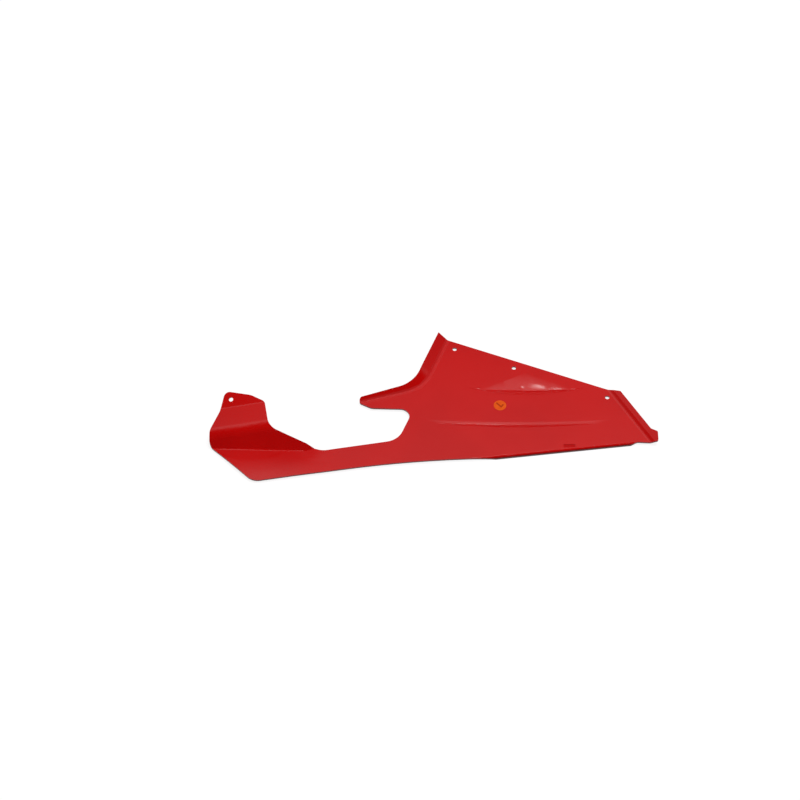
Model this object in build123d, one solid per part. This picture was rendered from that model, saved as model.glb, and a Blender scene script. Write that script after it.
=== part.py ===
from build123d import *
import os
from math import asin, atan2, cos, degrees, hypot, radians, sin, tan

# Left half of a motorcycle belly pan: one moulded plastic skin, lying on its outer face.
# X runs forward along the machine, Y from the keel edge to the upper edge, and Z rises off the
# inner face. The origin is the rear screw hole of the upper edge, at the inner face.
# Lengths are in millimetres and angles in degrees.

# Skin
WALL = 3.0  # along Z, the way the mould opens

# Upper edge and its row of screw holes
HOLE_DIAMETER = 7.0
HOLE_ROW_DROP = 22.4  # slope of the row, falling towards the front
MID_HOLE = 103.2  # from the rear hole, along the row
FRONT_HOLE = 262.5
TOP_MARGIN = 13.5  # rear hole to upper edge
TOP_EDGE_DROP = 22.0
TOP_EDGE_REAR = 33.8  # upper edge behind the rear hole
TOP_EDGE_FRONT = 279.0  # upper edge ahead of the rear hole
APEX_RADIUS = 1.0

# Front edge, with a two-stage lip and a foot below it
FRONT_RAKE = 60.4
FRONT_EDGE = 86.8
FRONT_TOP_RADIUS = 4.0
FOOT_REACH = 10.0
FOOT_DROP = 7.0
FOOT_HEIGHT = 16.0
FOOT_KINK_RADIUS = 6.0
TOE_RADIUS = 4.0
SOLE = 31.8
SOLE_RISE = 1.7  # towards the rear
SOLE_FRONT_RADIUS = 2.5
SOLE_REAR_RADIUS = 3.0
RISER_WIDTH = 5.0
RISER_HEIGHT = 3.6
RIM_WIDTH = 7.4
RIM_SLOPE = 24.0
RIM_FOOT_RADIUS = 8.0
RIM_CREST_RADIUS = 2.5

# Keel edge: a rolled hem, then the long sweep under the arm
HEM_STEP = 3.9  # down from the sole
HEM_SLANT = 10.6
HEM = 215.0
HEM_SLOPE = 7.13
HEM_RADIUS = 4.5
HEM_TURN = 66.0  # how far the hem rolls over
HEM_FRONT_RADIUS = 4.0
HEM_REAR_RADIUS = 20.0
KEEL_FLAT = 136.8
KEEL_FLAT_SLOPE = 2.1
KEEL_SWEEP_RADIUS = 1600.0
ARM = 245.5
ARM_SLOPE = 9.35

# Fork edge, spike and exhaust notch
FORK_EDGE = 107.6
FORK_RAKE = 68.3
FORK_RADIUS = 52.0
SPIKE_TOP = 102.3
SPIKE_TOP_SLOPE = 18.05
SPIKE_TIP_RADIUS = 6.0
SPIKE_NOSE = 32.0
SPIKE_NOSE_SLOPE = 27.9
SPIKE_HEEL_RADIUS = 20.0
SPIKE_BOTTOM = 67.7
SPIKE_BOTTOM_SLOPE = 1.8
NOTCH_WALL = 66.4
NOTCH_RAKE = 67.8
NOTCH_HIGH_RADIUS = 15.0
NOTCH_LOW_RADIUS = 32.0
FLANGE_TURN = 40.0  # slope of the turned-up rim
FLANGE_WIDTH = 16.2  # along the fork edge
FLANGE_ELBOW_WIDTH = 9.5  # along the spike, at the elbow
FLANGE_TIP_WIDTH = 6.0  # at the tip of the spike
FLANGE_HEIGHT = 24.0  # room for the rim before it is trimmed
FLANGE_BEND_RADIUS = 5.0

# Tail: crowned lower face, rising wall, band and screw tab
TAIL_DIAGONAL = 97.8
TAIL_DIAGONAL_RAKE = 44.0
TAIL_KEEL_RADIUS = 24.0
TAIL_LOW_RADIUS = 12.0
TAIL_END = 18.5
TAIL_END_RADIUS = 28.0
TAIL_FLARE = 37.9
TAIL_FLARE_RAKE = 68.6
TAIL_WAIST_RADIUS = 40.0
TAB_SIDE = 34.7
TAB_SIDE_RAKE = 77.0
TAB_CORNER_RADIUS = 9.0
TAB_TOP = 42.0
TAB_TOP_SLOPE = 11.4
TAB_SHOULDER_RADIUS = 25.0
TAB_SHOULDER = 25.0
TAB_SHOULDER_SLOPE = 27.0
TAB_FRONT_RADIUS = 9.0
TAB_NECK = 49.2
TAB_NECK_RAKE = 80.2
TAIL_ELBOW_RADIUS = 22.0
WALL_EDGE = 89.0
WALL_EDGE_SLOPE = 18.9
ARM_ROOT_RADIUS = 30.0
CROWN_KEEL_TILT = 5.5  # slope of the lower face at the keel
CROWN_CREASE_TILT = 8.5  # and back down to the crease
CROWN_LEAD = 25.0  # the crown starts this far ahead of the arm's root
CROWN_TRAIL = 60.0  # and is full this far behind it
CREASE_SLOPE = 1.55  # rising rearwards from the arm's root
CREASE_RADIUS = 4.0
WALL_TILT = 46.0
WALL_FADE = 25.0  # the wall leaves the crease this far each side of the arm's root
WALL_FADE_RISE = 16.0
RIDGE_HEIGHT = 17.2  # above the crease, at the tail end
RIDGE_CLIMB = 0.127  # towards the front, per length
RIDGE_RADIUS = 28.0
BAND_RUN = 46.7
BAND_FALL = 0.3
TAB_TILT = 19.0
TAB_CREASE_RADIUS = 9.0
TAB_HOLE_INSET_X = 9.6  # tab corner to its hole
TAB_HOLE_INSET_Y = 13.7

# Long rib, and a shallow dish behind a raised lip; all three die out along an arc
RIB_AHEAD = 98.0
RIB_BELOW = 151.0
RIB_LENGTH = 300.0
RIB_BOW = 6.0  # its ends lie this much higher than its middle
RIB_HEIGHT = 1.8
RIB_FLANK = 55.0  # slope of its upper side
RIB_SHOULDER_RUN = 5.0
RIB_SHOULDER_HEIGHT = 1.35
RIB_SHOULDER_RADIUS = 8.0
RIB_RUN = 4.4
LIP_AHEAD = 114.0
LIP_BELOW = 89.5
LIP_LENGTH = 154.0
LIP_BOW = 4.5
LIP_HEIGHT = 1.6
LIP_RUN = 5.6
DISH_DEPTH = 3.3
DISH_RUN = 36.0
DISH_FLANK = 50.0  # slope from the dish up to the lip
DISH_RADIUS = 3.0

# Moulded mark recess and inspection sticker on the inner face
MARK_AHEAD = 177.0
MARK_BELOW = 196.5
MARK_LENGTH = 18.5
MARK_WIDTH = 6.0
MARK_DEPTH = 0.6
STICKER_DIAMETER = 20.0
STICKER_AHEAD = 70.3
STICKER_BELOW = 116.2
STICKER_THICKNESS = 0.2

# Working stock around the skin
DEPTH = 60.0
SPARE = 60.0
FACE_ROWS = 24  # rows of points in the tail's lower face, each way
CREASE_REACH = 8.0  # edges this near the tail's crease belong to it


def step(start, heading, distance):
    angle = radians(heading)
    return (start[0] + distance * cos(angle), start[1] + distance * sin(angle))


def shift(start, dx, dy):
    return (start[0] + dx, start[1] + dy)


# Corners of the outline
edge_foot = step((0, 0), 90 - TOP_EDGE_DROP, TOP_MARGIN)
apex = step(edge_foot, 180 - TOP_EDGE_DROP, TOP_EDGE_REAR)
front_top = step(edge_foot, -TOP_EDGE_DROP, TOP_EDGE_FRONT)
foot_kink = step(front_top, -FRONT_RAKE, FRONT_EDGE)
foot_toe = shift(foot_kink, FOOT_REACH, -FOOT_DROP)
foot_sole = shift(foot_toe, 0, -FOOT_HEIGHT)
sole_end = shift(foot_sole, -SOLE, SOLE_RISE)
hem_front = shift(sole_end, -HEM_SLANT, -HEM_STEP)
hem_rear = step(hem_front, 180 + HEM_SLOPE, HEM)
keel_bend = step(hem_rear, 180 + KEEL_FLAT_SLOPE, KEEL_FLAT)
tail_keel = step(keel_bend, 180 + ARM_SLOPE, ARM)
tail_low = step(tail_keel, 180 - TAIL_DIAGONAL_RAKE, TAIL_DIAGONAL)
tail_end = step(tail_low, 90, TAIL_END)
tail_waist = step(tail_end, TAIL_FLARE_RAKE, TAIL_FLARE)
tab_corner = step(tail_waist, TAB_SIDE_RAKE, TAB_SIDE)
tab_shoulder = step(tab_corner, -TAB_TOP_SLOPE, TAB_TOP)
tab_front = step(tab_shoulder, -TAB_SHOULDER_SLOPE, TAB_SHOULDER)
tail_elbow = step(tab_front, -TAB_NECK_RAKE, TAB_NECK)
arm_root = step(tail_elbow, -WALL_EDGE_SLOPE, WALL_EDGE)
fork_elbow = step(apex, 180 + FORK_RAKE, FORK_EDGE)
spike_tip = step(fork_elbow, 180 + SPIKE_TOP_SLOPE, SPIKE_TOP)
spike_heel = step(spike_tip, -SPIKE_NOSE_SLOPE, SPIKE_NOSE)
notch_high = step(spike_heel, -SPIKE_BOTTOM_SLOPE, SPIKE_BOTTOM)
notch_low = step(notch_high, 180 + NOTCH_RAKE, NOTCH_WALL)

# Each corner with its radius, once round the panel
outline_corners = [
    (apex, APEX_RADIUS),
    (front_top, FRONT_TOP_RADIUS),
    (foot_kink, FOOT_KINK_RADIUS),
    (foot_toe, TOE_RADIUS),
    (foot_sole, SOLE_FRONT_RADIUS),
    (sole_end, SOLE_REAR_RADIUS),
    (hem_front, HEM_FRONT_RADIUS),
    (hem_rear, HEM_REAR_RADIUS),
    (keel_bend, KEEL_SWEEP_RADIUS),
    (tail_keel, TAIL_KEEL_RADIUS),
    (tail_low, TAIL_LOW_RADIUS),
    (tail_end, TAIL_END_RADIUS),
    (tail_waist, TAIL_WAIST_RADIUS),
    (tab_corner, TAB_CORNER_RADIUS),
    (tab_shoulder, TAB_SHOULDER_RADIUS),
    (tab_front, TAB_FRONT_RADIUS),
    (tail_elbow, TAIL_ELBOW_RADIUS),
    (arm_root, ARM_ROOT_RADIUS),
    (notch_low, NOTCH_LOW_RADIUS),
    (notch_high, NOTCH_HIGH_RADIUS),
    (spike_heel, SPIKE_HEEL_RADIUS),
    (spike_tip, SPIKE_TIP_RADIUS),
    (fork_elbow, FORK_RADIUS),
]

# Limits of the stock
x_min = tail_low[0] - SPARE
x_max = foot_toe[0] + SPARE
y_min = tail_keel[1] - SPARE
y_max = apex[1] + SPARE


def outline_prism():
    corners = [corner for corner, radius in outline_corners]
    radii = [radius for corner, radius in outline_corners]
    outline = make_face(FilletPolyline(*corners, radius=radii, close=True))
    return extrude(Pos(0, 0, -DEPTH) * outline, 2 * DEPTH)


# Flat plate, with the keel side rolled over as a hem up to the foot
def plate():
    hem_end = hem_front[0] + HEM_SLANT / 2
    below = HEM_RADIUS * (1 - sin(radians(HEM_TURN)))

    def hem_line(x):
        return (x, hem_front[1] - below + (x - hem_front[0]) * tan(radians(HEM_SLOPE)))

    rear_corners = [hem_line(x_min), hem_line(hem_end), (hem_end, y_max), (x_min, y_max)]
    front_corners = [(hem_end, y_min), (x_max, y_min), (x_max, y_max), (hem_end, y_max)]
    rear = make_face(Polyline(*rear_corners, close=True))
    front = make_face(Polyline(*front_corners, close=True))
    hemmed = extrude(Pos(0, 0, -DEPTH) * rear, DEPTH)
    hem_edge = hemmed.edges().filter_by_position(Axis.Z, 0, 0).sort_by(Axis.Y)[0]
    return fillet(hem_edge, HEM_RADIUS) + extrude(Pos(0, 0, -DEPTH) * front, DEPTH)


# Sloping stock beyond the fork edge and the spike, with a bend up to it
def add_flange(body):
    fork_in = (sin(radians(FORK_RAKE)), -cos(radians(FORK_RAKE)))
    spike_in = (sin(radians(SPIKE_TOP_SLOPE)), -cos(radians(SPIKE_TOP_SLOPE)))
    fork_foot = shift(fork_elbow, FLANGE_WIDTH * fork_in[0], FLANGE_WIDTH * fork_in[1])
    elbow_foot = shift(fork_elbow, FLANGE_ELBOW_WIDTH * spike_in[0], FLANGE_ELBOW_WIDTH * spike_in[1])
    tip_foot = shift(spike_tip, FLANGE_TIP_WIDTH * spike_in[0], FLANGE_TIP_WIDTH * spike_in[1])
    spike_heading = degrees(atan2(elbow_foot[1] - tip_foot[1], elbow_foot[0] - tip_foot[0]))
    turn = radians(FORK_RAKE - spike_heading)
    offset = shift(elbow_foot, -fork_foot[0], -fork_foot[1])
    heading = radians(spike_heading)
    along_fork = (offset[1] * cos(heading) - offset[0] * sin(heading)) / sin(turn)
    elbow = step(fork_foot, FORK_RAKE, along_fork)
    start = step(elbow, FORK_RAKE, FORK_EDGE + SPARE)
    end = step(tip_foot, 180 + spike_heading, SPARE / 2)
    path = FilletPolyline(end, elbow, start, radius=[FORK_RADIUS + FLANGE_WIDTH])
    region = make_face(path + Polyline(start, (end[0], start[1]), end))
    body = body + extrude(region, FLANGE_HEIGHT, taper=90 - FLANGE_TURN)
    bend = [edge for edge in body.edges() if path.distance_to(edge @ 0.5) < 0.01]
    return fillet(bend, FLANGE_BEND_RADIUS)


# Front lip: a riser off the plate, then a gently rising rim, running along the front edge
def add_front_lip(body):
    inner = -RIM_WIDTH - RISER_WIDTH
    below = DEPTH / 2
    rim_height = RISER_HEIGHT + (RIM_WIDTH + SPARE) * tan(radians(RIM_SLOPE))
    corners = [
        (inner - RISER_WIDTH, -below),
        (inner - RISER_WIDTH, -RISER_HEIGHT),
        (-RIM_WIDTH, RISER_HEIGHT),
        (SPARE, rim_height),
        (SPARE, -below),
    ]
    section = make_face(FilletPolyline(*corners, radius=[0, 0, RIM_CREST_RADIUS, 0, 0], close=True))
    outward = (sin(radians(FRONT_RAKE)), cos(radians(FRONT_RAKE)), 0)
    along = (cos(radians(FRONT_RAKE)), -sin(radians(FRONT_RAKE)), 0)
    across = Plane(origin=(*front_top, 0), x_dir=outward, z_dir=along)
    lip = extrude(across * section, FRONT_EDGE + 2 * SPARE)
    lip = Pos(-SPARE * along[0], -SPARE * along[1], 0) * lip
    body = body + lip
    foot_line = step(front_top, 180 + 90 - FRONT_RAKE, RIM_WIDTH + RISER_WIDTH)
    foot_start = step(foot_line, -FRONT_RAKE, -2 * SPARE)
    foot_end = step(foot_line, -FRONT_RAKE, FRONT_EDGE + 2 * SPARE)
    foot = Edge.make_line((*foot_start, 0), (*foot_end, 0))
    bend = [edge for edge in body.edges() if foot.distance_to(edge @ 0.5) < 0.01]
    return fillet(bend, RIM_FOOT_RADIUS)


# A section carried along a wide arc, so that it sinks and moves up towards both ends
def carry(section, ahead, crest, length, sink, bow):
    reach = hypot(sink, bow)
    radius = (length ** 2 / 4 + reach ** 2) / (2 * reach)
    lean = atan2(bow, sink)
    centre = (ahead, crest[0] + radius * sin(lean), crest[1] - radius * cos(lean))
    axis = Axis(centre, (0, cos(lean), sin(lean)))
    sweep = 4 * degrees(asin(length / 2 / radius))
    section = Plane(origin=(ahead, 0, 0), x_dir=(0, 1, 0), z_dir=(1, 0, 0)) * section
    return revolve(section, axis, sweep).rotate(axis, -sweep / 2)


# Rib: a steep upper side, a soft shoulder, then a slope down to the plate
def add_rib(body):
    sunk = 2 * WALL
    crest = (-RIB_BELOW, RIB_HEIGHT)
    shoulder = (crest[0] - RIB_SHOULDER_RUN, RIB_SHOULDER_HEIGHT)
    slope = RIB_SHOULDER_HEIGHT / RIB_RUN
    corners = [
        (shoulder[0] - RIB_RUN - sunk / slope, -sunk),
        shoulder,
        crest,
        (crest[0] + (RIB_HEIGHT + sunk) / tan(radians(RIB_FLANK)), -sunk),
    ]
    section = make_face(FilletPolyline(*corners, radius=[0, RIB_SHOULDER_RADIUS, 0, 0], close=True))
    return body + carry(section, RIB_AHEAD, crest, RIB_LENGTH, RIB_HEIGHT, RIB_BOW)


# Dish above the lip: a long soft slope down from the upper edge, then a short flank up to the lip
def add_dish(body):
    crest = (-LIP_BELOW, LIP_HEIGHT)
    sunk = 2 * WALL
    slope = LIP_HEIGHT / LIP_RUN
    lip_corners = [
        (crest[0] - LIP_RUN - sunk / slope, -sunk),
        (crest[0] + LIP_RUN / 2, LIP_HEIGHT + slope * LIP_RUN / 2),
        (crest[0] + LIP_RUN / 2, -sunk),
    ]
    lip = make_face(Polyline(*lip_corners, close=True))
    body = body + carry(lip, LIP_AHEAD, crest, LIP_LENGTH, LIP_HEIGHT, LIP_BOW)
    flank = (DISH_DEPTH + LIP_HEIGHT) / tan(radians(DISH_FLANK))
    valley = (crest[0] + flank, -DISH_DEPTH)
    rim = (valley[0] + DISH_RUN, 0)
    front = (valley[0] - (DISH_DEPTH + sunk) / tan(radians(DISH_FLANK)), sunk)
    slope_line = TangentArc(rim, valley, tangent=(-1, 0))
    dish = make_face(slope_line + Polyline(valley, front, (rim[0], sunk), rim))
    dish = fillet(dish.vertices().sort_by(Axis.Y)[0], DISH_RADIUS)
    return body - carry(dish, LIP_AHEAD, valley, LIP_LENGTH, -DISH_DEPTH, LIP_BOW - flank)


# Lower face of the arm and tail: crowned behind the arm, between the keel and the crease
crown_start = arm_root[0] + CROWN_LEAD
crown_full = arm_root[0] - CROWN_TRAIL
tail_limit = crown_start + CREASE_REACH


def crease(x):
    return arm_root[1] + (arm_root[0] - x) * tan(radians(CREASE_SLOPE))


def crown(x, y):
    blend = min(max((crown_start - x) / (crown_start - crown_full), 0), 1)
    blend = blend * blend * (3 - 2 * blend)
    width = crease(x) - tail_keel[1]
    climb = (y - tail_keel[1]) / width
    rise = tan(radians(CROWN_KEEL_TILT))
    fall = tan(radians(CROWN_CREASE_TILT))
    return blend * width * climb * (rise - climb * (rise + fall) / 2)


def lower_face():
    y_top = arm_root[1] + SPARE
    grid = []
    for i in range(FACE_ROWS + 1):
        x = x_min + (tail_limit - x_min) * i / FACE_ROWS
        levels = [y_min + (y_top - y_min) * j / FACE_ROWS for j in range(FACE_ROWS + 1)]
        grid.append([(x, y, crown(x, y)) for y in levels])
    skin = Face.make_surface_from_array_of_points(grid)
    return extrude(skin, DEPTH, dir=(0, 0, -1))


# Fold lines of the tail across one station: foot of the wall, ridge and tab crease
def folds_at(x):
    foot = (crease(x), crown(x, crease(x)))
    height = RIDGE_HEIGHT + (x - tail_low[0]) * RIDGE_CLIMB
    ridge = (foot[0] + height / tan(radians(WALL_TILT)), foot[1] + height)
    tab = (ridge[0] + BAND_RUN, ridge[1] - BAND_FALL)
    return foot, ridge, tab


def tab_level(x, y):
    tab = folds_at(x)[2]
    return tab[1] + (y - tab[0]) * tan(radians(TAB_TILT))


# Tail wall, band and tab, ruled between sections
def tail_folds():
    stations = [x_min, crown_full, arm_root[0] - WALL_FADE, arm_root[0] + WALL_FADE]
    sections = []
    for x in stations:
        lift = WALL_FADE_RISE if x > arm_root[0] else 0
        ridge, tab = [shift(point, lift, 0) for point in folds_at(x)[1:]]
        base = -DEPTH / 2
        low = (ridge[0] - (ridge[1] - base) / tan(radians(WALL_TILT)), base)
        high = (tab[0] + SPARE, tab[1] + SPARE * tan(radians(TAB_TILT)))
        back = (high[0], base)
        radii = [0, RIDGE_RADIUS, TAB_CREASE_RADIUS, 0, 0]
        outline = FilletPolyline(low, ridge, tab, high, back, radius=radii, close=True)
        plane = Plane(origin=(x, 0, 0), x_dir=(0, 1, 0), z_dir=(1, 0, 0))
        sections.append(plane * make_face(outline))
    return loft(sections, ruled=True)


# Small radius where the wall rises off the lower face
def soften_crease(body):
    def in_crease(edge):
        middle = edge @ 0.5
        near_line = abs(middle.Y - crease(middle.X)) < CREASE_REACH
        near_face = abs(middle.Z - crown(middle.X, middle.Y)) < CREASE_REACH
        return near_line and near_face and x_min + CREASE_REACH < middle.X < arm_root[0]

    return fillet([edge for edge in body.edges() if in_crease(edge)], CREASE_RADIUS)


def sculpted_stock():
    body = add_front_lip(add_flange(plate()))
    tail_length = tail_limit - x_min + SPARE
    tail_box = Box(tail_length, 2 * (y_max - y_min), 4 * DEPTH)
    body = body - Pos(tail_limit - tail_length / 2, y_min, 0) * tail_box + lower_face()
    body = soften_crease(body + tail_folds())
    return add_dish(add_rib(body))


stock = sculpted_stock()
panel = (stock - Pos(0, 0, -WALL) * stock) & outline_prism()

# Screw holes of the upper edge, and the one square to the tab
for distance in (0, MID_HOLE, FRONT_HOLE):
    place = step((0, 0), -HOLE_ROW_DROP, distance)
    panel = panel - Pos(*place, 0) * Cylinder(HOLE_DIAMETER / 2, DEPTH)
tab_hole = shift(tab_corner, TAB_HOLE_INSET_X, -TAB_HOLE_INSET_Y)
level = tab_level(*tab_hole)
slope_x = tab_level(tab_hole[0] + 1, tab_hole[1]) - level
slope_y = tab_level(tab_hole[0], tab_hole[1] + 1) - level
tab_plane = Plane(origin=(*tab_hole, level), z_dir=(-slope_x, -slope_y, 1))
panel = panel - tab_plane * Cylinder(HOLE_DIAMETER / 2, DEPTH / 2)

# Bare recess where such panels carry a moulded mark
panel = panel - Pos(MARK_AHEAD, -MARK_BELOW, 0) * Box(MARK_LENGTH, MARK_WIDTH, 2 * MARK_DEPTH)

sticker_place = Pos(STICKER_AHEAD, -STICKER_BELOW, STICKER_THICKNESS / 2)
sticker = sticker_place * Cylinder(STICKER_DIAMETER / 2, STICKER_THICKNESS)

os.makedirs("parts", exist_ok=True)
export_step(panel, "parts/belly_pan_panel.step")
export_step(sticker, "parts/inspection_sticker.step")
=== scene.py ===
import math

import bpy
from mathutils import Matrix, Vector


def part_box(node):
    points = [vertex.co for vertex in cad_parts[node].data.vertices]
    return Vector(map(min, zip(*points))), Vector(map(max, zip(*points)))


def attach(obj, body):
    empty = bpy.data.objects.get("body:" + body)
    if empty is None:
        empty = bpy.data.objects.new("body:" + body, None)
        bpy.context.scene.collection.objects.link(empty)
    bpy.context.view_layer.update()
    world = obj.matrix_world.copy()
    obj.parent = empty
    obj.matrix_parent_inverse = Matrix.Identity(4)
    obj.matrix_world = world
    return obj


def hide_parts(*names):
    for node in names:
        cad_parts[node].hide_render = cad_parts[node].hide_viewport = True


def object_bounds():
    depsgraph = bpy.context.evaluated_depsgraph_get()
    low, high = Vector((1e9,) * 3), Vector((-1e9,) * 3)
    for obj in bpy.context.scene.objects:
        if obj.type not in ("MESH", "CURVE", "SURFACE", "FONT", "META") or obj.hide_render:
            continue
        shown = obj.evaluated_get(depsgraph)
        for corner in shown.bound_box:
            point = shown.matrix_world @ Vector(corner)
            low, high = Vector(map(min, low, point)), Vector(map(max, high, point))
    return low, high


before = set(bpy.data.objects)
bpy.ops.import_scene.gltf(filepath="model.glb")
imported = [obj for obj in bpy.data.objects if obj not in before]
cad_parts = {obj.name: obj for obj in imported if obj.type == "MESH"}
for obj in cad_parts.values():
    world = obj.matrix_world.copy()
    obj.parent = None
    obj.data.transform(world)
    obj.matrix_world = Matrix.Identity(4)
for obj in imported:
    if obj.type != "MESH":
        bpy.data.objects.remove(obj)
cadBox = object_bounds()
floorLevel = cadBox[0][2]
print("frame loaded, floor at", round(floorLevel, 4))


# one tool box for node trees

def feed(tree, socket, value):
    if isinstance(value, bpy.types.NodeSocket):
        tree.links.new(value, socket)
    else:
        socket.default_value = value


def newNode(tree, kind, **inputs):
    node = tree.nodes.new(kind)
    for name, value in inputs.items():
        feed(tree, node.inputs[name.replace("_", " ")], value)
    return node


def mathNode(tree, operation, *values):
    node = tree.nodes.new("ShaderNodeMath")
    node.operation = operation
    for socket, value in zip(node.inputs, values):
        feed(tree, socket, value)
    return node.outputs["Value"]


def vectorNode(tree, operation, *values):
    node = tree.nodes.new("ShaderNodeVectorMath")
    node.operation = operation
    for socket, value in zip(node.inputs, values):
        feed(tree, socket, value)
    givesNumber = operation in ("DOT_PRODUCT", "LENGTH")
    return node.outputs["Value" if givesNumber else "Vector"]


def mapRange(tree, value, fromLow, fromHigh, toLow=0.0, toHigh=1.0):
    node = newNode(tree, "ShaderNodeMapRange", Value=value, From_Min=fromLow, From_Max=fromHigh,
                   To_Min=toLow, To_Max=toHigh)
    node.interpolation_type = "SMOOTHSTEP"
    return node.outputs["Result"]


def mixColour(tree, mask, base, over):
    node = tree.nodes.new("ShaderNodeMix")
    node.data_type = "RGBA"
    for name, value in (("Factor", mask), ("A", base), ("B", over)):
        feed(tree, node.inputs[name], value)
    return node.outputs["Result"]


# a bell curve over a squared distance that is counted in spreads
def bellCurve(tree, square):
    return mathNode(tree, "EXPONENT", mathNode(tree, "MULTIPLY", square, -0.5))


def objectPoint(tree):
    return tree.nodes.new("ShaderNodeTexCoord").outputs["Object"]


def oneAxis(tree, vector, axis):
    return newNode(tree, "ShaderNodeSeparateXYZ", Vector=vector).outputs[axis]


def newMaterial(name):
    material = bpy.data.materials.new(name)
    material.use_nodes = True
    material.node_tree.nodes.clear()
    return material, material.node_tree


def showSurface(tree, shader):
    newNode(tree, "ShaderNodeOutputMaterial", Surface=shader.outputs[0])


def grey(level):
    return (level, level, level, 1.0)


# node groups: each takes a point, and vectors and values of its own, and puts out one value

def newGroup(name, vectors, values, result):
    group = bpy.data.node_groups.new(name, "ShaderNodeTree")
    for socketName in vectors:
        group.interface.new_socket(socketName, in_out="INPUT", socket_type="NodeSocketVector")
    for socketName in values:
        group.interface.new_socket(socketName, in_out="INPUT", socket_type="NodeSocketFloat")
    group.interface.new_socket(result, in_out="OUTPUT", socket_type="NodeSocketFloat")
    given = group.nodes.new("NodeGroupInput").outputs
    put = group.nodes.new("NodeGroupOutput").inputs[result]
    return group, given, put


def useGroup(tree, group, **values):
    node = tree.nodes.new("ShaderNodeGroup")
    node.node_tree = group
    feed(tree, node.inputs["Point"], objectPoint(tree))
    for name, value in values.items():
        feed(tree, node.inputs[name], value)
    return node.outputs[0]


def noiseNode(tree, point, scale, texture):
    node = newNode(tree, "ShaderNodeTexNoise", Vector=point, Scale=scale,
                   Detail=texture["detail"], Roughness=texture["roughness"])
    return node.outputs["Fac"]


# soft cloudy variation, for colour drift in the plastic and the paper
driftTexture = {"detail": 3.0, "roughness": 0.55, "low": 0.35, "high": 0.65}


def buildDrift():
    group, given, mask = newGroup("drift", ["Point"], ["Size"], "Mask")
    scale = mathNode(group, "DIVIDE", 1.0, given["Size"])
    clouds = noiseNode(group, given["Point"], scale, driftTexture)
    feed(group, mask, mapRange(group, clouds, driftTexture["low"], driftTexture["high"]))
    return group


# fine grain that bumps the surface: orange peel on plastic, fibres on paper
grainTexture = {"detail": 2.0, "roughness": 0.5}


def buildGrain():
    group, given, height = newGroup("grain", ["Point"], ["Size"], "Height")
    scale = mathNode(group, "DIVIDE", 1.0, given["Size"])
    feed(group, height, noiseNode(group, given["Point"], scale, grainTexture))
    return group


# short handling scuffs, all along one direction
scuffTexture = {"detail": 4.0, "roughness": 0.7, "low": 0.6, "high": 0.78}


def buildScuffs():
    group, given, mask = newGroup("scuffs", ["Point", "Stretch"], [], "Mask")
    stretched = vectorNode(group, "MULTIPLY", given["Point"], given["Stretch"])
    streaks = noiseNode(group, stretched, 1.0, scuffTexture)
    feed(group, mask, mapRange(group, streaks, scuffTexture["low"], scuffTexture["high"]))
    return group


# one straight stroke between two points: a pen mark on paper, wear along a fold
strokeEdge = {"full": 0.30, "none": 0.75}    # shares of the stroke's width, from its middle line


def buildStroke():
    group, given, mask = newGroup("stroke", ["Point", "Start", "End"], ["Width"], "Mask")
    fromStart = vectorNode(group, "SUBTRACT", given["Point"], given["Start"])
    along = vectorNode(group, "SUBTRACT", given["End"], given["Start"])
    reach = vectorNode(group, "DOT_PRODUCT", fromStart, along)
    length = vectorNode(group, "DOT_PRODUCT", along, along)
    share = newNode(group, "ShaderNodeClamp", Value=mathNode(group, "DIVIDE", reach, length))
    foot = vectorNode(group, "MULTIPLY", along, share.outputs["Result"])
    gap = vectorNode(group, "LENGTH", vectorNode(group, "SUBTRACT", fromStart, foot))
    none = mathNode(group, "MULTIPLY", given["Width"], strokeEdge["none"])
    full = mathNode(group, "MULTIPLY", given["Width"], strokeEdge["full"])
    feed(group, mask, mapRange(group, gap, none, full))
    return group


# a box shaped patch with soft edges
def buildPatch():
    group, given, mask = newGroup("patch", ["Point", "Centre", "Half"], ["Edge"], "Mask")
    offset = vectorNode(group, "SUBTRACT", given["Point"], given["Centre"])
    outside = vectorNode(group, "SUBTRACT", vectorNode(group, "ABSOLUTE", offset), given["Half"])
    widest = mathNode(group, "MAXIMUM", oneAxis(group, outside, "X"), oneAxis(group, outside, "Y"))
    widest = mathNode(group, "MAXIMUM", widest, oneAxis(group, outside, "Z"))
    feed(group, mask, mapRange(group, widest, given["Edge"], 0.0))
    return group


# one soft round spot, strongest at its centre
def buildSoftSpot():
    group, given, weight = newGroup("softSpot", ["Point", "Centre", "Reach"], [], "Weight")
    offset = vectorNode(group, "SUBTRACT", given["Point"], given["Centre"])
    spreads = vectorNode(group, "DIVIDE", offset, given["Reach"])
    feed(group, weight, bellCurve(group, vectorNode(group, "DOT_PRODUCT", spreads, spreads)))
    return group


driftGroup = buildDrift()
grainGroup = buildGrain()
scuffGroup = buildScuffs()
strokeGroup = buildStroke()
patchGroup = buildPatch()
spotGroup = buildSoftSpot()


# strokes from corner to corner, as one mask
def pathMask(tree, corners, width):
    mask = 0.0
    for start, end in zip(corners, corners[1:]):
        leg = useGroup(tree, strokeGroup, Start=start, End=end, Width=width)
        mask = mathNode(tree, "MAXIMUM", leg, mask)
    return mask


print("patterns made")


# the red skin: moulded plastic, with a matte mark recess whose darker red is painted shade, a worn
# fold, two sink marks and painted shade darkening the hem

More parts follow.
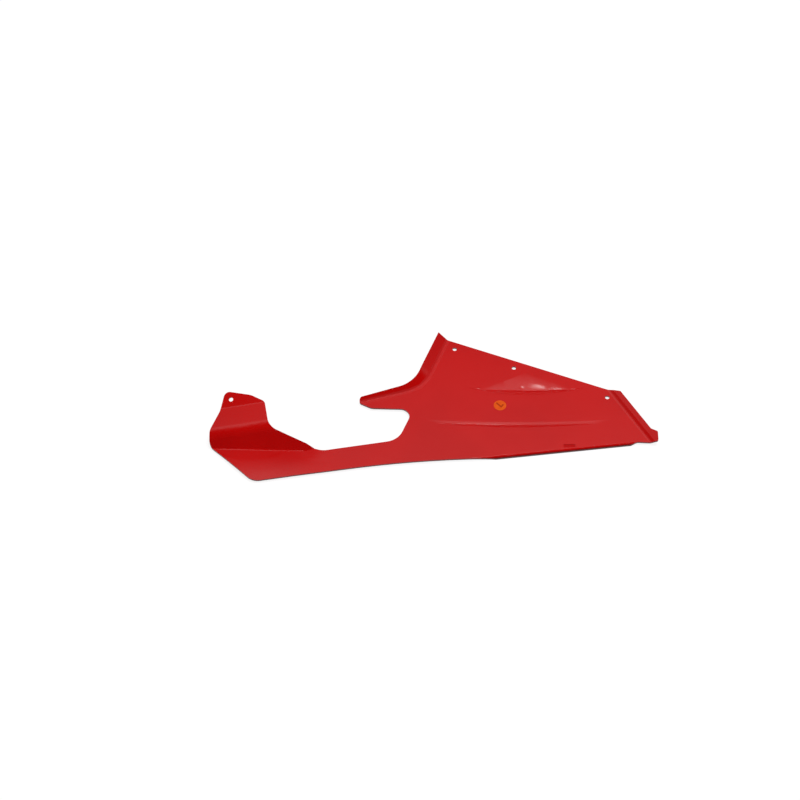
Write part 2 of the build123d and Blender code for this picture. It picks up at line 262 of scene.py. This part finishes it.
glossRed = {
    "deepRed": (0.51, 0.0012, 0.0010, 1.0),
    "lightRed": (0.55, 0.0018, 0.0014, 1.0),
    "driftSize": 0.16,
    "ior": 1.5,
    "smooth": 0.11,
    "scuffed": 0.15,
    "scuffStretch": (14.0, 260.0, 60.0),
    "peelSize": 0.0016,
    "peelHeight": 0.000004,
    "waveSize": 0.075,
    "waveHeight": 0.00016,
    # painted shade: the mark recess gets a darker red; its full roughness is the mark's matte texture
    "markShadeRed": (0.46, 0.0006, 0.0006, 1.0),
    "markRough": 1.0,
    "markCentre": (0.177, -0.1965, 0.0),
    "markHalf": (0.0091, 0.0029, 0.0012),
    "markEdge": 0.0004,
    "foldRough": 0.40,
    "foldWidth": 0.008,
    "foldPath": (
        (-0.0117, 0.0180),
        (-0.0425, -0.0583),
        (-0.0560, -0.0775),
        (-0.0743, -0.0871),
        (-0.1522, -0.1111),
    ),
    "sinkDepth": 0.0002,
    "sinkCentre": (0.1352, -0.0803, -0.0025),
    "sinkReach": (0.0160, 0.0046, 0.02),
    "spotCentre": (0.1053, -0.0785, -0.0025),
    "spotReach": (0.0028, 0.0022, 0.02),
    # painted shade on the hem: its low, outward-facing faces are darkened towards a deep red
    "hemTop": -0.0006,
    "hemFoot": -0.0026,
    "hemSteep": 0.45,
    "hemUpright": 0.75,
    "hemShadeRed": (0.15, 0.0006, 0.0006, 1.0),
}


def redColour(tree, mark):
    look = glossRed
    clouds = useGroup(tree, driftGroup, Size=look["driftSize"])
    plastic = mixColour(tree, clouds, look["deepRed"], look["lightRed"])
    # the mark recess is darkened: painted shade
    marked = mixColour(tree, mark, plastic, look["markShadeRed"])
    # painted shade: the hem is darkened where it lies below the plate and faces outward
    normal = tree.nodes.new("ShaderNodeNewGeometry").outputs["Normal"]
    low = mapRange(tree, oneAxis(tree, objectPoint(tree), "Z"), look["hemTop"], look["hemFoot"])
    outward = mapRange(tree, oneAxis(tree, normal, "Y"), -look["hemSteep"], -look["hemUpright"])
    return mixColour(tree, mathNode(tree, "MULTIPLY", low, outward), marked, look["hemShadeRed"])


def redRoughness(tree, mark):
    look = glossRed
    scuffs = useGroup(tree, scuffGroup, Stretch=look["scuffStretch"])
    worn = mapRange(tree, scuffs, 0.0, 1.0, look["smooth"], look["scuffed"])
    corners = [(x, y, 0.0) for x, y in look["foldPath"]]
    fold = pathMask(tree, corners, look["foldWidth"])
    dulled = mapRange(tree, fold, 0.0, 1.0, worn, look["foldRough"])
    return mapRange(tree, mark, 0.0, 1.0, dulled, look["markRough"])


def redNormal(tree):
    look = glossRed
    waves = useGroup(tree, grainGroup, Size=look["waveSize"])
    wavy = newNode(tree, "ShaderNodeBump", Height=waves, Distance=look["waveHeight"])
    sink = useGroup(tree, spotGroup, Centre=look["sinkCentre"], Reach=look["sinkReach"])
    spot = useGroup(tree, spotGroup, Centre=look["spotCentre"], Reach=look["spotReach"])
    sunk = newNode(tree, "ShaderNodeBump", Height=mathNode(tree, "ADD", sink, spot),
                   Distance=look["sinkDepth"], Normal=wavy.outputs["Normal"])
    sunk.invert = True
    peel = useGroup(tree, grainGroup, Size=look["peelSize"])
    peeled = newNode(tree, "ShaderNodeBump", Height=peel, Distance=look["peelHeight"],
                     Normal=sunk.outputs["Normal"])
    return peeled.outputs["Normal"]


def buildGlossRed():
    look = glossRed
    material, tree = newMaterial("glossRed")
    mark = useGroup(tree, patchGroup, Centre=look["markCentre"], Half=look["markHalf"],
                    Edge=look["markEdge"])
    surface = newNode(tree, "ShaderNodeBsdfPrincipled", IOR=look["ior"],
                      Base_Color=redColour(tree, mark), Roughness=redRoughness(tree, mark),
                      Normal=redNormal(tree))
    showSurface(tree, surface)
    return material


skin = {
    "weld": 0.000005,
    "flatAngle": math.radians(0.2),
    "rimAngle": math.radians(28.0),
    "rimRadius": 0.0007,
    "rimSegments": 2,
    "smoothAngle": math.radians(14.0),
}


def makeSkin():
    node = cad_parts["belly_pan_panel"]
    piece = bpy.data.objects.new("bellyPanSkin", node.data.copy())
    bpy.context.scene.collection.objects.link(piece)
    bpy.ops.object.select_all(action="DESELECT")
    bpy.context.view_layer.objects.active = piece
    piece.select_set(True)
    bpy.ops.mesh.customdata_custom_splitnormals_clear()
    bpy.ops.object.mode_set(mode="EDIT")
    bpy.ops.mesh.select_mode(type="EDGE")
    bpy.ops.mesh.select_all(action="SELECT")
    bpy.ops.mesh.remove_doubles(threshold=skin["weld"])
    bpy.ops.mesh.dissolve_limited(angle_limit=skin["flatAngle"])
    bpy.ops.object.mode_set(mode="OBJECT")
    rim = piece.modifiers.new("rim", "BEVEL")
    rim.limit_method = "ANGLE"
    rim.angle_limit = skin["rimAngle"]
    rim.width = skin["rimRadius"]
    rim.segments = skin["rimSegments"]
    bpy.ops.object.modifier_apply(modifier=rim.name)
    bpy.ops.object.shade_smooth_by_angle(angle=skin["smoothAngle"])
    weighted = piece.modifiers.new("flatFaces", "WEIGHTED_NORMAL")
    weighted.keep_sharp = True
    bpy.ops.object.modifier_apply(modifier=weighted.name)
    piece.data.materials.clear()
    piece.data.materials.append(buildGlossRed())
    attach(piece, "root")
    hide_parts("belly_pan_panel")
    return piece


bellyPanSkin = makeSkin()
print("skin made,", len(bellyPanSkin.data.polygons), "faces")


# the inspection sticker: orange paper with a pen tick

sticker = {
    "orange": (0.70, 0.080, 0.004, 1.0),
    "paleOrange": (0.75, 0.105, 0.008, 1.0),
    "ink": (0.40, 0.030, 0.001, 1.0),
    "driftSize": 0.004,
    "rough": 0.72,
    "shine": 0.15,
    "fibreSize": 0.0003,
    "fibreHeight": 0.00002,
    "penWidth": 0.0024,
    "penPath": ((-0.0050, 0.0045), (0.0020, -0.0030), (0.0048, 0.0012)),
}


def buildOrangePaper(centre):
    look = sticker
    material, tree = newMaterial("orangePaper")
    clouds = useGroup(tree, driftGroup, Size=look["driftSize"])
    paper = mixColour(tree, clouds, look["orange"], look["paleOrange"])
    corners = [(centre[0] + x, centre[1] + y, centre[2]) for x, y in look["penPath"]]
    pen = pathMask(tree, corners, look["penWidth"])
    fibres = useGroup(tree, grainGroup, Size=look["fibreSize"])
    fibrous = newNode(tree, "ShaderNodeBump", Height=fibres, Distance=look["fibreHeight"])
    surface = newNode(tree, "ShaderNodeBsdfPrincipled", Roughness=look["rough"],
                      Specular_IOR_Level=look["shine"],
                      Base_Color=mixColour(tree, pen, paper, look["ink"]),
                      Normal=fibrous.outputs["Normal"])
    showSurface(tree, surface)
    return material


def dressSticker():
    low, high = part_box("inspection_sticker")
    centre = ((low[0] + high[0]) / 2, (low[1] + high[1]) / 2, high[2])
    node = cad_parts["inspection_sticker"]
    node.data.materials.clear()
    node.data.materials.append(buildOrangePaper(centre))


dressSticker()
print("sticker dressed")


# camera at the photograph's angle

view = {
    "target": Vector((-0.0893, -0.10525, 0.0)),
    "elevation": math.radians(52.0),
    "distance": 3.0222,
    "lens": 85.0,
    "sensor": 36.0,
}


def addCamera():
    lensData = bpy.data.cameras.new("photoCamera")
    lensData.lens = view["lens"]
    lensData.sensor_width = view["sensor"]
    camera = bpy.data.objects.new("photoCamera", lensData)
    away = Vector((0.0, -math.cos(view["elevation"]), math.sin(view["elevation"])))
    camera.location = view["target"] + away * view["distance"]
    camera.rotation_euler = (math.pi / 2 - view["elevation"], 0.0, 0.0)
    bpy.context.scene.collection.objects.link(camera)
    bpy.context.scene.camera = camera


addCamera()
print("camera set")


# white floor that keeps a faint shadow

ground = {"size": 16.0, "albedo": 0.1, "shownAlbedo": 0.18, "lift": 0.86}


# rays that see the floor and the room themselves, not only their light
def seenDirectly(tree):
    path = tree.nodes.new("ShaderNodeLightPath").outputs
    seen = mathNode(tree, "MAXIMUM", path["Is Camera Ray"], path["Is Glossy Ray"])
    return mathNode(tree, "MAXIMUM", seen, path["Is Transmission Ray"])


def addFloor():
    bpy.ops.object.select_all(action="DESELECT")
    bpy.ops.mesh.primitive_plane_add(size=ground["size"], location=(0.0, 0.0, floorLevel))
    floor = bpy.context.object
    floor.name = "floor"
    material, tree = newMaterial("paleFloor")
    lit = newNode(tree, "ShaderNodeBsdfDiffuse", Color=grey(ground["albedo"]))
    shown = newNode(tree, "ShaderNodeBsdfDiffuse", Color=grey(ground["shownAlbedo"]))
    lift = newNode(tree, "ShaderNodeEmission", Strength=ground["lift"])
    both = tree.nodes.new("ShaderNodeAddShader")
    feed(tree, both.inputs[0], shown.outputs[0])
    feed(tree, both.inputs[1], lift.outputs[0])
    pick = newNode(tree, "ShaderNodeMixShader", Fac=seenDirectly(tree))
    feed(tree, pick.inputs[1], lit.outputs[0])
    feed(tree, pick.inputs[2], both.outputs[0])
    showSurface(tree, pick)
    floor.data.materials.append(material)


addFloor()
print("floor laid")


# studio light: an even room, a large key lamp above and behind, a smaller one for the glint in the dish

studio = {"room": 0.40, "seenRoom": 1.0}

keyLamp = {
    "name": "key",
    "place": Vector((0.90, 0.75, 5.00)),
    "aim": Vector((0.0, -0.12, 0.0)),
    "size": (3.0, 3.0),
    "power": 176.0,
}

glintLamp = {
    "name": "glint",
    "place": Vector((0.1725, 1.805, 5.168)),
    "aim": Vector((0.134, -0.076, 0.0)),
    "size": (0.50, 0.75),
    "power": 8.3,
}


def addWorld():
    world = bpy.data.worlds.new("paleRoom")
    bpy.context.scene.world = world
    world.use_nodes = True
    tree = world.node_tree
    tree.nodes.clear()
    strength = mapRange(tree, seenDirectly(tree), 0.0, 1.0, studio["room"], studio["seenRoom"])
    background = newNode(tree, "ShaderNodeBackground", Color=grey(1.0), Strength=strength)
    newNode(tree, "ShaderNodeOutputWorld", Surface=background.outputs[0])


def addLamp(settings):
    lampData = bpy.data.lights.new(settings["name"], "AREA")
    lampData.shape = "ELLIPSE"
    lampData.size, lampData.size_y = settings["size"]
    lampData.energy = settings["power"]
    lamp = bpy.data.objects.new(settings["name"], lampData)
    lamp.location = settings["place"]
    towards = settings["aim"] - settings["place"]
    lamp.rotation_euler = towards.to_track_quat("-Z", "Y").to_euler()
    bpy.context.scene.collection.objects.link(lamp)
    return lamp


# what the gloss sees: a dark tent with one soft window above and behind

tent = {
    "radius": 6.0,
    "segments": 48,
    "rings": 24,
    "dim": 0.008,
    "pitch": math.radians(66.0),
    "pitchSpread": math.radians(10.0),
    "yaw": math.radians(8.0),
    "yawSpread": math.radians(40.0),
    "glow": 1.0,
}


# how many spreads an angle is from the window's middle, squared
def squareAway(tree, angle, middle, spread):
    away = mathNode(tree, "DIVIDE", mathNode(tree, "SUBTRACT", angle, middle), spread)
    return mathNode(tree, "POWER", away, 2.0)


def addTent():
    bpy.ops.object.select_all(action="DESELECT")
    bpy.ops.mesh.primitive_uv_sphere_add(segments=tent["segments"], ring_count=tent["rings"],
                                         radius=tent["radius"], location=(0.0, 0.0, 0.0))
    shell = bpy.context.object
    shell.name = "tent"
    bpy.ops.object.mode_set(mode="EDIT")
    bpy.ops.mesh.select_all(action="SELECT")
    bpy.ops.mesh.bisect(plane_co=(0.0, 0.0, floorLevel), plane_no=(0.0, 0.0, 1.0), clear_inner=True)
    bpy.ops.object.mode_set(mode="OBJECT")
    material, tree = newMaterial("tentCloth")
    outward = vectorNode(tree, "NORMALIZE", objectPoint(tree))
    pitch = mathNode(tree, "ARCTAN2", oneAxis(tree, outward, "Z"), oneAxis(tree, outward, "Y"))
    yaw = mathNode(tree, "ARCSINE", oneAxis(tree, outward, "X"))
    farUp = squareAway(tree, pitch, tent["pitch"], tent["pitchSpread"])
    farAside = squareAway(tree, yaw, tent["yaw"], tent["yawSpread"])
    window = bellCurve(tree, mathNode(tree, "ADD", farUp, farAside))
    glow = mathNode(tree, "MULTIPLY", window, tent["glow"])
    cloth = newNode(tree, "ShaderNodeEmission", Color=grey(1.0),
                    Strength=mathNode(tree, "ADD", glow, tent["dim"]))
    showSurface(tree, cloth)
    shell.data.materials.append(material)
    shell.visible_camera = False
    shell.visible_diffuse = False
    shell.visible_transmission = False
    shell.visible_shadow = False


addWorld()
addLamp(keyLamp).visible_glossy = False
addLamp(glintLamp).visible_diffuse = False
addTent()
bpy.context.scene.view_settings.view_transform = "Standard"
print("studio lit")
